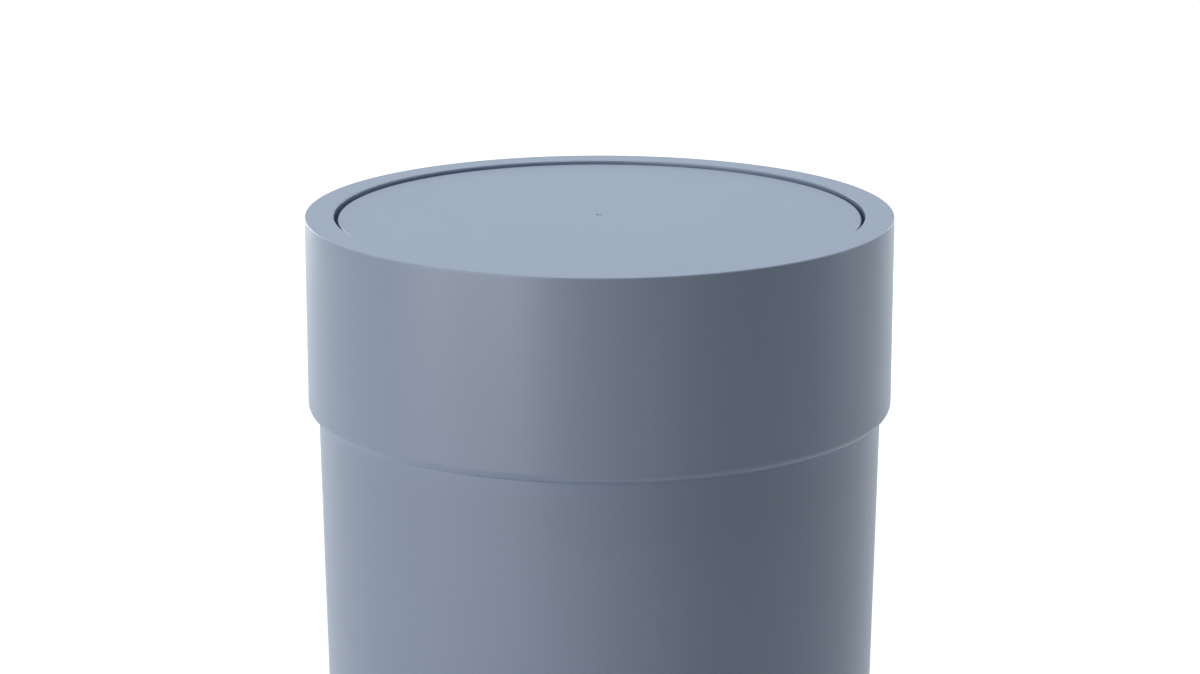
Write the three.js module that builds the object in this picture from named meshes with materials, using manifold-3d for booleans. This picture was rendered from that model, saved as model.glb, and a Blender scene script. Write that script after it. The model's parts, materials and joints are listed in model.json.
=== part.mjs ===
// A round waste bin: a tapered can, a lift-off lid collar and a flush disc that tips in the collar.
// Millimetres, +Z up, front towards -Y. The origin is the centre of the base, on the floor.
import * as THREE from "three";
import { mergeVertices } from "three/addons/utils/BufferGeometryUtils.js";
import Module from "manifold-3d";

// Counts: facets of the large rounds, of the small rounds and of a rounded edge
const largeFacets = 72;
const smallFacets = 24;
const edgeSteps = 3;

// Overall sizes
const canHeight = 254;
const collarRadius = 98.4;

// Fits and allowances
const seatGap = 0.3;
const pressClearance = 0.15;
const runningClearance = 0.3;
const overrun = 1;

// Lid collar: skirt, top flange and the wall round the mouth
const collarHeight = 66.3;
const skirtWall = 3;
const collarEdgeRadius = 0.5;
const lipEdgeRadius = 3;
const lipInnerEdgeRadius = 0.4;
const flangeThickness = 2.5;
const mouthEdgeRadius = 0.5;
const mouthWall = 2;
const mouthWallMargin = 4.6;
const channelGap = 2;

// Ribs in the collar's channel, which stand on the can's rim
const seatRibCount = 16;
const seatRibWidth = 1.6;
const seatRibHeight = 6;

// Can: the taper is measured on one side, and ends where the collar hides the can's neck
const canTaperDegrees = 0.98;
const canWall = 2.2;
const rimClearance = 0.5;
const floorThickness = 2.5;
const footRingHeight = 2;
const footRingWidth = 26;
const footEdgeRadius = 3;
const innerCornerRadius = 4;

// Rubber pads in the foot ring
const padCount = 4;
const padRadius = 6;
const padThickness = 2.6;
const padProud = 1;
const padEdgeRadius = 0.5;

// Swing disc: plate, down-turned rim and the mark that its moulding leaves
const mouthGap = 1.25;
const discRecess = 1.1;
const discThickness = 3;
const discEdgeRadius = 0.8;
const discRimWall = 2;
const discRimDepth = 11;
const discRingRibInset = 32.3;
const discRingRibHeight = 4;
const discRibWall = 1.6;
const gateMarkRadius = 1.4;
const gateMarkDepth = 0.45;

// How far the disc tips, and how much further the stops are
const swingLimitDegrees = 78;
const stopMarginDegrees = 2;

// Ears under the disc that hold the pins
const earThickness = 4;
const earTopHalfWidth = 9;
const earEndRadius = 6;
const earSideGap = 1;

// Long ribs that join the ears, clear of the pins' heads
const spineClearance = 2.7;
const spineHeight = 10;

// Pivot pins
const pinRadius = 2;
const pinHeadRadius = 3.5;
const pinHeadThickness = 1.5;
const pinEndInset = 0.5;
const pinChamfer = 0.4;

// Bushes in the mouth wall, and the bosses behind it
const bushWall = 1.2;
const bushFlangeWidth = 1.5;
const bushFlangeThickness = 1.2;
const bushTopGap = 2;
const bossWall = 1.5;
const bossClearance = 0.65;

// Stop pegs, and the cuts in the disc's rim that pass them
const pegRadius = 2;
const pegClearance = 1.1;
const pegReach = 7.5;
const rimCutClearance = 5.5;

// Counterweight on two posts
const weightEndGap = 22.4;
const weightWidth = 24;
const weightThickness = 6;
const weightCornerRadius = 4;
const weightDrop = 12.5;
const postInset = 15;
const postRadius = 4;

// Screws that hold the counterweight
const screwRadius = 1.5;
const screwHeadRadius = 3.5;
const screwHeadHeight = 2.2;
const screwGrip = 12;
const screwHoleExtra = 2;
const screwTipLength = 1.2;
const screwHeadCrownShare = 0.45;
const driverSlotWidth = 0.9;
const driverSlotLength = 3.6;
const driverSlotDepth = 1.1;

// Radii from the collar inwards
const skirtInnerRadius = collarRadius - skirtWall;
const rimRadius = skirtInnerRadius - rimClearance;
const mouthWallOuterRadius = rimRadius - canWall - channelGap;
const mouthRadius = mouthWallOuterRadius - mouthWall;
const discRadius = mouthRadius - mouthGap;
const bushBoreRadius = pinRadius + runningClearance;
const bushOuterRadius = bushBoreRadius + bushWall;
const bushFlangeRadius = bushOuterRadius + bushFlangeWidth;
const bossRadius = bushOuterRadius + bossWall;

// Depth of the swing axis below the disc's top face: the bushes pass under the disc
const axisBelowPlate = bushFlangeRadius + bushTopGap;
const axisDepth = discThickness + axisBelowPlate;

// Stop pegs: the disc's underside meets a pair of them just past each end of its swing
const earReach = Math.hypot(earTopHalfWidth, axisBelowPlate);
const pegDistance = earReach + pegClearance + pegRadius;
const pegLean = Math.acos((axisBelowPlate - pegRadius) / pegDistance);
const pegAngle = THREE.MathUtils.degToRad(swingLimitDegrees + stopMarginDegrees) + pegLean;
const pegAcross = pegDistance * Math.sin(pegAngle);
const pegDrop = -pegDistance * Math.cos(pegAngle);
const rimCutHalfWidth = pegDistance + pegRadius + rimCutClearance;

// Levels above the floor
const lipLevel = canHeight - collarHeight;
const flangeUnderside = canHeight - flangeThickness;
const rimLevel = flangeUnderside - seatRibHeight - seatGap;
const footLevel = padProud;
const canUnderside = footLevel + footRingHeight;
const canFloor = canUnderside + floorThickness;
const discTop = canHeight - discRecess;
const discUnderside = discTop - discThickness;
const axisLevel = discTop - axisDepth;
const mouthWallEnd = axisLevel - pegDrop - pegRadius - mouthWallMargin;
const weightTop = axisLevel - weightDrop;
const weightUnderside = weightTop - weightThickness;
const postEnd = weightTop + seatGap;

// Places along the swing axis, from the can's wall inwards
const canTaper = Math.tan(THREE.MathUtils.degToRad(canTaperDegrees));
const bossEnd = canRadiusAt(axisLevel) - canWall - bossClearance;
const pinEnd = bossEnd - pinEndInset;
const bushFlangeFace = Math.sqrt(mouthRadius ** 2 - bushFlangeRadius ** 2) - seatGap;
const earOuterFace = bushFlangeFace - bushFlangeThickness - earSideGap;
const earInnerFace = earOuterFace - earThickness;
const pinHeadFace = earInnerFace - pressClearance;
const weightHalfLength = earInnerFace - weightEndGap;
const postPlace = weightHalfLength - postInset;

// Places in the base: the pads are in the middle of the foot ring
const footRingInnerRadius = canRadiusAt(footLevel) - footRingWidth;
const padCircleRadius = footRingInnerRadius + footRingWidth / 2;

const wasm = await Module();
wasm.setup();

// The can's outer radius at a level: a straight neck inside the collar, and narrower below it.
function canRadiusAt(level) {
  return rimRadius - Math.max(0, lipLevel - level) * canTaper;
}

// A point of a profile: distance from the axis, and level.
function point(radius, level) {
  return new THREE.Vector2(radius, level);
}

// The points of a rounded edge, from one direction to another in degrees.
function roundedEdge(centreRadius, centreLevel, radius, fromDegrees, toDegrees, steps = edgeSteps) {
  const points = [];
  for (let step = 0; step <= steps; step += 1) {
    const degrees = fromDegrees + (toDegrees - fromDegrees) * (step / steps);
    const angle = THREE.MathUtils.degToRad(degrees);
    const across = centreRadius + radius * Math.cos(angle);
    const up = centreLevel + radius * Math.sin(angle);
    points.push(point(across, up));
  }
  return points;
}

// A profile turned about the vertical axis.
function turned(points, facets) {
  const geometry = new THREE.LatheGeometry(points, facets);
  geometry.rotateX(Math.PI / 2);
  return geometry;
}

// A profile turned about the swing axis: its levels become distances along X.
function turnedAlongX(points, facets) {
  const geometry = new THREE.LatheGeometry(points, facets);
  geometry.rotateZ(-Math.PI / 2);
  geometry.translate(0, 0, axisLevel);
  return geometry;
}

// A rod along X between two places, at a distance from the middle plane and a level.
function rodAlongX(radius, start, end, across, level) {
  const geometry = new THREE.CylinderGeometry(radius, radius, end - start, smallFacets);
  geometry.rotateZ(-Math.PI / 2);
  geometry.translate((start + end) / 2, across, level);
  return geometry;
}

// An upright rod between two levels.
function uprightRod(radius, bottom, top, along, across) {
  const geometry = new THREE.CylinderGeometry(radius, radius, top - bottom, smallFacets);
  geometry.rotateX(Math.PI / 2);
  geometry.translate(along, across, (bottom + top) / 2);
  return geometry;
}

// A block given by its two corners.
function block(lowX, lowY, lowZ, highX, highY, highZ) {
  const geometry = new THREE.BoxGeometry(highX - lowX, highY - lowY, highZ - lowZ);
  geometry.translate((lowX + highX) / 2, (lowY + highY) / 2, (lowZ + highZ) / 2);
  return geometry;
}

// An outline pushed up by a depth.
function extruded(outline, depth) {
  const curveSegments = smallFacets / 2;
  return new THREE.ExtrudeGeometry(outline, { depth, bevelEnabled: false, curveSegments });
}

// A copy turned about the vertical axis.
function turnedBy(geometry, angle) {
  const copy = geometry.clone();
  copy.rotateZ(angle);
  return copy;
}

// A closed three.js geometry as a solid that can be cut and joined.
function toSolid(geometry) {
  const bare = geometry.clone();
  bare.deleteAttribute("normal");
  bare.deleteAttribute("uv");
  const merged = mergeVertices(bare);
  const index = merged.getIndex().array;
  const triangles = [];
  for (let start = 0; start < index.length; start += 3) {
    const [a, b, c] = [index[start], index[start + 1], index[start + 2]];
    if (a !== b && b !== c && c !== a) {
      triangles.push(a, b, c);
    }
  }
  const vertProperties = new Float32Array(merged.getAttribute("position").array);
  const triVerts = new Uint32Array(triangles);
  return new wasm.Manifold(new wasm.Mesh({ numProp: 3, vertProperties, triVerts }));
}

// A solid back as a three.js geometry.
function toGeometry(solid) {
  const mesh = solid.getMesh();
  const geometry = new THREE.BufferGeometry();
  geometry.setAttribute("position", new THREE.BufferAttribute(new Float32Array(mesh.vertProperties), 3));
  geometry.setIndex(new THREE.BufferAttribute(new Uint32Array(mesh.triVerts), 1));
  geometry.computeVertexNormals();
  return geometry;
}

// Joins geometries to a solid.
function joinAll(solid, geometries) {
  return geometries.reduce((joined, geometry) => joined.add(toSolid(geometry)), solid);
}

// Cuts geometries out of a solid.
function cutAll(solid, geometries) {
  return geometries.reduce((left, geometry) => left.subtract(toSolid(geometry)), solid);
}

// Can: foot ring, tapered wall with a round rim, and a floor with a rounded corner
function canProfile() {
  const footCentre = canRadiusAt(footLevel) - footEdgeRadius;
  const cornerLevel = canFloor + innerCornerRadius;
  const cornerCentre = canRadiusAt(cornerLevel) - canWall - innerCornerRadius;
  const rimRound = canWall / 2;
  return [
    point(0, canUnderside),
    point(footRingInnerRadius - footRingHeight, canUnderside),
    point(footRingInnerRadius, footLevel),
    ...roundedEdge(footCentre, footLevel + footEdgeRadius, footEdgeRadius, -90, 0),
    point(rimRadius, lipLevel),
    ...roundedEdge(rimRadius - rimRound, rimLevel - rimRound, rimRound, 0, 180, 2 * edgeSteps),
    point(rimRadius - canWall, lipLevel),
    ...roundedEdge(cornerCentre, cornerLevel, innerCornerRadius, 0, -90),
    point(0, canFloor),
  ];
}

// The pockets in the foot ring that the pads sit in
function padPockets() {
  const pocketRadius = padRadius + pressClearance;
  const pocketTop = padThickness + seatGap;
  const pocket = uprightRod(pocketRadius, footLevel - overrun, pocketTop, padCircleRadius, 0);
  return padAngles().map((angle) => turnedBy(pocket, angle));
}

function padAngles() {
  return Array.from({ length: padCount }, (unused, place) => (place * 2 * Math.PI) / padCount);
}

function canGeometry() {
  return toGeometry(cutAll(toSolid(turned(canProfile(), largeFacets)), padPockets()));
}

// One rubber pad, on the +X side of the base
function padGeometry() {
  const edge = padRadius - padEdgeRadius;
  const profile = [
    point(0, 0),
    ...roundedEdge(edge, padEdgeRadius, padEdgeRadius, -90, 0, 2),
    point(padRadius, padThickness),
    point(0, padThickness),
  ];
  const geometry = turned(profile, smallFacets);
  geometry.translate(padCircleRadius, 0, 0);
  return toGeometry(toSolid(geometry));
}

// The lip from the skirt's inside to its outside: a small rounded edge that runs into a large one
function lipProfile() {
  const difference = lipEdgeRadius - lipInnerEdgeRadius;
  const overlap = lipEdgeRadius + lipInnerEdgeRadius - skirtWall;
  const meeting = Math.acos(Math.max(0, overlap / difference));
  const meetingDegrees = THREE.MathUtils.radToDeg(meeting);
  const innerLevel = lipLevel + lipInnerEdgeRadius;
  const outerLevel = innerLevel + difference * Math.sin(meeting);
  const innerCentre = skirtInnerRadius + lipInnerEdgeRadius;
  const outerCentre = collarRadius - lipEdgeRadius;
  return [
    ...roundedEdge(innerCentre, innerLevel, lipInnerEdgeRadius, -180, -meetingDegrees),
    ...roundedEdge(outerCentre, outerLevel, lipEdgeRadius, -meetingDegrees, 0, 2 * edgeSteps),
  ];
}

// Lid collar: one closed ring from the lip, up the skirt, over the flange and down the mouth wall
function collarProfile() {
  const outerCentre = collarRadius - collarEdgeRadius;
  const mouthCentre = mouthRadius + mouthEdgeRadius;
  const lip = lipProfile();
  return [
    ...lip,
    ...roundedEdge(outerCentre, canHeight - collarEdgeRadius, collarEdgeRadius, 0, 90),
    ...roundedEdge(mouthCentre, canHeight - mouthEdgeRadius, mouthEdgeRadius, 90, 180),
    point(mouthRadius, mouthWallEnd),
    point(mouthWallOuterRadius, mouthWallEnd),
    point(mouthWallOuterRadius, flangeUnderside),
    point(skirtInnerRadius, flangeUnderside),
    lip[0],
  ];
}

// Seat ribs: blocks across the channel, each half a step away from the bosses
function seatRibs() {
  const rib = block(
    mouthWallOuterRadius - mouthWall / 2,
    -seatRibWidth / 2,
    flangeUnderside - seatRibHeight,
    skirtInnerRadius + skirtWall / 2,
    seatRibWidth / 2,
    flangeUnderside + flangeThickness / 2,
  );
  const step = (2 * Math.PI) / seatRibCount;
  return Array.from({ length: seatRibCount }, (unused, place) => turnedBy(rib, (place + 1 / 2) * step));
}

// Bosses behind the mouth wall, on both ends of the swing axis
function bearingBosses() {
  const boss = rodAlongX(bossRadius, mouthRadius + mouthWall / 2, bossEnd, 0, axisLevel);
  return [boss, turnedBy(boss, Math.PI)];
}

// Stop pegs: a pair on each end of the swing axis
function stopPegs() {
  const rootPlace = mouthRadius + mouthWall / 2;
  const pegs = [-pegAcross, pegAcross].map((place) => {
    return rodAlongX(pegRadius, mouthRadius - pegReach, rootPlace, place, axisLevel - pegDrop);
  });
  return [...pegs, ...pegs.map((peg) => turnedBy(peg, Math.PI))];
}

// The bores that the bushes sit in
function bushBores() {
  const boreRadius = bushOuterRadius + pressClearance;
  const bore = rodAlongX(boreRadius, mouthRadius - overrun, bossEnd + overrun, 0, axisLevel);
  return [bore, turnedBy(bore, Math.PI)];
}

function collarGeometry() {
  const ring = toSolid(turned(collarProfile(), largeFacets));
  const fitted = joinAll(ring, [...seatRibs(), ...bearingBosses(), ...stopPegs()]);
  return toGeometry(cutAll(fitted, bushBores()));
}

// Flanged bush on the +X side: the flange lies against the mouth wall
function bushGeometry() {
  const flangeStart = bushFlangeFace - bushFlangeThickness;
  const sleeveEnd = pinEnd - pinEndInset;
  const first = point(bushBoreRadius, flangeStart);
  const profile = [
    first,
    point(bushFlangeRadius, flangeStart),
    point(bushFlangeRadius, bushFlangeFace),
    point(bushOuterRadius, bushFlangeFace),
    point(bushOuterRadius, sleeveEnd),
    point(bushBoreRadius, sleeveEnd),
    first,
  ];
  return toGeometry(toSolid(turnedAlongX(profile, smallFacets)));
}

// Headed pin on the +X side: the head lies against the ear's inner face
function pinGeometry() {
  const headStart = pinHeadFace - pinHeadThickness;
  const profile = [
    point(0, headStart),
    point(pinHeadRadius - pinChamfer, headStart),
    point(pinHeadRadius, headStart + pinChamfer),
    point(pinHeadRadius, pinHeadFace),
    point(pinRadius, pinHeadFace),
    point(pinRadius, pinEnd - pinChamfer),
    point(pinRadius - pinChamfer, pinEnd),
    point(0, pinEnd),
  ];
  return toGeometry(toSolid(turnedAlongX(profile, smallFacets)));
}

// Swing disc: a plate with a down-turned rim and a ring rib, and the moulding mark in its centre
function discProfile() {
  const edgeCentre = discRadius - discEdgeRadius;
  const rimEnd = discUnderside - discRimDepth;
  const ringRibEnd = discUnderside - discRingRibHeight;
  const ringRibOuter = discRadius - discRingRibInset;
  const ringRibInner = ringRibOuter - discRibWall;
  return [
    point(0, discUnderside),
    point(ringRibInner, discUnderside),
    point(ringRibInner, ringRibEnd),
    point(ringRibOuter, ringRibEnd),
    point(ringRibOuter, discUnderside),
    point(discRadius - discRimWall, discUnderside),
    point(discRadius - discRimWall, rimEnd),
    point(discRadius, rimEnd),
    ...roundedEdge(edgeCentre, discTop - discEdgeRadius, discEdgeRadius, 0, 90),
    point(gateMarkRadius, discTop),
    point(gateMarkRadius - gateMarkDepth, discTop - gateMarkDepth),
    point(0, discTop - gateMarkDepth),
  ];
}

// The gaps in the down-turned rim that let it pass the pegs and bushes
function rimCuts() {
  const rimInnerRadius = discRadius - discRimWall;
  const cut = block(
    Math.sqrt(rimInnerRadius ** 2 - rimCutHalfWidth ** 2) - overrun,
    -rimCutHalfWidth,
    discUnderside - discRimDepth - overrun,
    discRadius + overrun,
    rimCutHalfWidth,
    discUnderside,
  );
  return [cut, turnedBy(cut, Math.PI)];
}

// Ear on the +X side: a plate that narrows to a round end about the swing axis
function earGeometry() {
  const top = discUnderside + discThickness / 2 - axisLevel;
  const outline = new THREE.Shape();
  outline.moveTo(-earTopHalfWidth, top);
  outline.lineTo(-earEndRadius, 0);
  outline.absarc(0, 0, earEndRadius, Math.PI, 2 * Math.PI, false);
  outline.lineTo(earTopHalfWidth, top);
  outline.closePath();
  const geometry = extruded(outline, earThickness);
  const alongX = new THREE.Vector3(1, 0, 0);
  const alongY = new THREE.Vector3(0, 1, 0);
  const alongZ = new THREE.Vector3(0, 0, 1);
  geometry.applyMatrix4(new THREE.Matrix4().makeBasis(alongY, alongZ, alongX));
  geometry.translate(earInnerFace, 0, axisLevel);
  return geometry;
}

// Long ribs between the ears, and a web across them at each post
function spineRibs() {
  const bottom = discUnderside - spineHeight;
  const top = discUnderside + discThickness / 2;
  const end = (earInnerFace + earOuterFace) / 2;
  const half = discRibWall / 2;
  const spineOffset = pinHeadRadius + spineClearance + half;
  const long = [-spineOffset, spineOffset].map((place) => {
    return block(-end, place - half, bottom, end, place + half, top);
  });
  const webs = [-postPlace, postPlace].map((place) => {
    return block(place - half, -spineOffset, bottom, place + half, spineOffset, top);
  });
  return [...long, ...webs];
}

// Posts that the counterweight is screwed to, and the holes in them
function weightPosts() {
  const top = discUnderside + discThickness / 2;
  return [-postPlace, postPlace].map((place) => uprightRod(postRadius, postEnd, top, place, 0));
}

function postHoles() {
  const holeRadius = screwRadius + pressClearance;
  const top = postEnd + screwGrip + screwHoleExtra;
  return [-postPlace, postPlace].map((place) => uprightRod(holeRadius, postEnd - overrun, top, place, 0));
}

function pinBores() {
  const boreRadius = pinRadius + pressClearance;
  const bore = rodAlongX(boreRadius, earInnerFace - overrun, earOuterFace + overrun, 0, axisLevel);
  return [bore, turnedBy(bore, Math.PI)];
}

function discGeometry() {
  const plate = cutAll(toSolid(turned(discProfile(), largeFacets)), rimCuts());
  const ears = [earGeometry(), turnedBy(earGeometry(), Math.PI)];
  const fitted = joinAll(plate, [...ears, ...spineRibs(), ...weightPosts()]);
  return toGeometry(cutAll(fitted, [...pinBores(), ...postHoles()]));
}

// Counterweight: a flat bar with round corners and a clearance hole at each post
function weightGeometry() {
  const halfWidth = weightWidth / 2;
  const endCentre = weightHalfLength - weightCornerRadius;
  const sideCentre = halfWidth - weightCornerRadius;
  const quarter = Math.PI / 2;
  const outline = new THREE.Shape();
  outline.absarc(endCentre, sideCentre, weightCornerRadius, 0, quarter, false);
  outline.absarc(-endCentre, sideCentre, weightCornerRadius, quarter, 2 * quarter, false);
  outline.absarc(-endCentre, -sideCentre, weightCornerRadius, 2 * quarter, 3 * quarter, false);
  outline.absarc(endCentre, -sideCentre, weightCornerRadius, 3 * quarter, 4 * quarter, false);
  outline.closePath();
  for (const place of [-postPlace, postPlace]) {
    const hole = new THREE.Path();
    hole.absarc(place, 0, screwRadius + runningClearance, 0, 2 * Math.PI, true);
    outline.holes.push(hole);
  }
  const geometry = extruded(outline, weightThickness);
  geometry.translate(0, 0, weightUnderside);
  return toGeometry(toSolid(geometry));
}

// Pan-head screw under the counterweight at the +X post, with a cross recess
function screwGeometry() {
  const headTop = weightUnderside - seatGap;
  const headBottom = headTop - screwHeadHeight;
  const crown = screwHeadHeight * screwHeadCrownShare;
  const tip = postEnd + screwGrip;
  const profile = [
    point(0, headBottom),
    point(screwHeadRadius - crown, headBottom),
    point(screwHeadRadius, headBottom + crown),
    point(screwHeadRadius, headTop),
    point(screwRadius, headTop),
    point(screwRadius, tip - screwTipLength),
    point(0, tip),
  ];
  const halfLength = driverSlotLength / 2;
  const halfWidth = driverSlotWidth / 2;
  const recessTop = headBottom + driverSlotDepth;
  const slot = block(-halfLength, -halfWidth, headBottom - overrun, halfLength, halfWidth, recessTop);
  const shank = toSolid(turned(profile, smallFacets));
  const geometry = toGeometry(cutAll(shank, [slot, turnedBy(slot, Math.PI / 2)]));
  geometry.translate(postPlace, 0, 0);
  return geometry;
}

// Materials
const softTouchPlastic = { color: 0xa3b0c0, roughness: 0.7, metalness: 0 };
const acetal = { color: 0xe8e6df, roughness: 0.45, metalness: 0 };
const steel = { color: 0xa9abae, roughness: 0.35, metalness: 1 };
const zincPlate = { color: 0xc3c6c8, roughness: 0.3, metalness: 1 };
const rubber = { color: 0x2b2d30, roughness: 0.85, metalness: 0 };

// A named mesh, turned about the vertical axis by an angle.
function piece(name, geometry, finish, angle = 0) {
  const mesh = new THREE.Mesh(geometry, new THREE.MeshStandardMaterial(finish));
  mesh.name = name;
  mesh.rotation.z = angle;
  return mesh;
}

// The two ends of the swing axis
const sides = [
  { side: "right", angle: 0 },
  { side: "left", angle: Math.PI },
];

// The standing can with its pads
const can = new THREE.Group();
can.add(piece("bin_body", canGeometry(), softTouchPlastic));
padAngles().forEach((angle, place) => {
  can.add(piece(`foot_pad_${place + 1}`, padGeometry(), rubber, angle));
});

// The lid collar with its bushes
const lid = new THREE.Group();
lid.add(piece("lid_collar", collarGeometry(), softTouchPlastic));
for (const { side, angle } of sides) {
  lid.add(piece(`${side}_pivot_bush`, bushGeometry(), acetal, angle));
}

// The disc with its pins and counterweight
const flap = new THREE.Group();
flap.add(piece("swing_disc", discGeometry(), softTouchPlastic));
flap.add(piece("counterweight", weightGeometry(), steel));
for (const { side, angle } of sides) {
  flap.add(piece(`${side}_pivot_pin`, pinGeometry(), steel, angle));
  flap.add(piece(`${side}_weight_screw`, screwGeometry(), zincPlate, angle));
}

const bin = new THREE.Group();
bin.add(can, lid, flap);

export default bin;
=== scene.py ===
"""Looks of a round waste bin: a tapered can, a lift-off collar and a flush disc that tips in it.

Everything is in metres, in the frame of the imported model: +Z up, front towards -Y, X along the
disc's swing axis. Sizes come from the frame or from the property groups below.
"""

import json
import math

import bmesh
import bpy
from bpy.props import FloatProperty, FloatVectorProperty, IntProperty, PointerProperty
from mathutils import Matrix, Vector


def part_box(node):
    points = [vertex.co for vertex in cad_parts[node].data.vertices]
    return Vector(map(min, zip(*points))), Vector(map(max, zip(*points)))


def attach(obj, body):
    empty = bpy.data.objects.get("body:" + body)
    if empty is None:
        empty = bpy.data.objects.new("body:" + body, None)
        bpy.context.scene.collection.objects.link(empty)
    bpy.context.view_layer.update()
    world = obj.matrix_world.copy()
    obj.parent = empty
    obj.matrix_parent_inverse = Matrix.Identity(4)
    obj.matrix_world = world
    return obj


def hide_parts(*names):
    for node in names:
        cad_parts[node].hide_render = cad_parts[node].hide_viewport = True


bl_info = {
    "name": "Swing Disc Bin",
    "version": (1, 0, 0),
    "blender": (4, 5, 0),
    "location": "View3D > Sidebar > Bin",
    "description": "Builds a round waste bin with a collar and a flush disc that tips",
    "category": "Object",
}

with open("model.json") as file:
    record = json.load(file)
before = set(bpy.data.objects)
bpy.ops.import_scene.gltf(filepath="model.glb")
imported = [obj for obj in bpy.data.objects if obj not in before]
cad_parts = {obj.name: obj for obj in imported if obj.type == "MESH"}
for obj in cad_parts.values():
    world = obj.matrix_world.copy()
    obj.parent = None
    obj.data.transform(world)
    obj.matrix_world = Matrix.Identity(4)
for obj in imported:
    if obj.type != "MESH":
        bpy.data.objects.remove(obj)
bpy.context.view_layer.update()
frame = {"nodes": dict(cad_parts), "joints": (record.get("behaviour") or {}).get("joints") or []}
MILLIMETRE = 0.001


# What the frame gives: boxes of the nodes and the swing axis

CAN_LOW, CAN_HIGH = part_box("bin_body")
COLLAR_LOW, COLLAR_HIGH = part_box("lid_collar")
DISC_LOW, DISC_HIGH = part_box("swing_disc")
WEIGHT_LOW, WEIGHT_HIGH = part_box("counterweight")
PIN_LOW, PIN_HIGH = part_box("right_pivot_pin")
BUSH_LOW, BUSH_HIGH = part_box("right_pivot_bush")
SCREW_LOW, SCREW_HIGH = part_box("right_weight_screw")
PAD_LOW, PAD_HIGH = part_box("foot_pad_1")
PAD_RADIUS = (PAD_HIGH.x - PAD_LOW.x) / 2
POST_PLACE = (SCREW_LOW.x + SCREW_HIGH.x) / 2
SWING_JOINT = next(joint for joint in frame["joints"] if joint["name"] == "flap_swing")
AXIS_LEVEL = SWING_JOINT["pos_m"][2]

PAD_COUNT = 4
SEAT_RIB_COUNT = 16

# How far a solid that cuts stands out past what it cuts
OVERRUN = MILLIMETRE
# Rings and poles closer than this are one point
WELD_DISTANCE = 0.001 * MILLIMETRE
# Extra rings this far from each bend keep flat stretches flat when they are shaded smooth
SUPPORT_MARGIN = 0.25 * MILLIMETRE
# Stretches shorter than this need no extra rings
SHORT_RUN = 4 * SUPPORT_MARGIN
# Faces that meet at a larger angle than this keep a sharp edge
SHARP_DEGREES = 30

# Faces across the small edges
SMALL_EDGE_STEPS = 2
BUSH_EDGE_STEPS = 3
LIP_INNER_STEPS = 4
BLOCK_EDGE_STEPS = 2
BAR_EDGE_STEPS = 3

# A screw: the dome of its head as a share of the head, its thread's depth as a share of the
# pitch, and the cross recess
HEAD_DOME = 0.45
THREAD_DEPTH = 0.3
CROSS_HALF_LENGTH = 1.8 * MILLIMETRE
CROSS_HALF_WIDTH = 0.45 * MILLIMETRE
CROSS_DEPTH = 1.1 * MILLIMETRE


def distance(name, metres, description, **limits):
    """A property for a distance in metres."""
    return FloatProperty(
        name=name,
        description=description,
        default=metres,
        precision=5,
        subtype="DISTANCE",
        unit="LENGTH",
        **limits,
    )


def length(name, millimetres, description):
    """A property for a length, given here in millimetres and kept in metres."""
    return distance(name, millimetres * MILLIMETRE, description, min=0)


def whole(name, number, least, description):
    """A property for a whole number."""
    return IntProperty(name=name, description=description, default=number, min=least)


def colour(name, red, green, blue, description):
    """A property for a colour, as linear light."""
    return FloatVectorProperty(
        name=name,
        description=description,
        default=(red, green, blue),
        min=0,
        max=1,
        size=3,
        subtype="COLOR",
    )


def share(name, value, description):
    """A property for a share from 0 to 1."""
    return FloatProperty(name=name, description=description, default=value, min=0, max=1, subtype="FACTOR")


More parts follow.
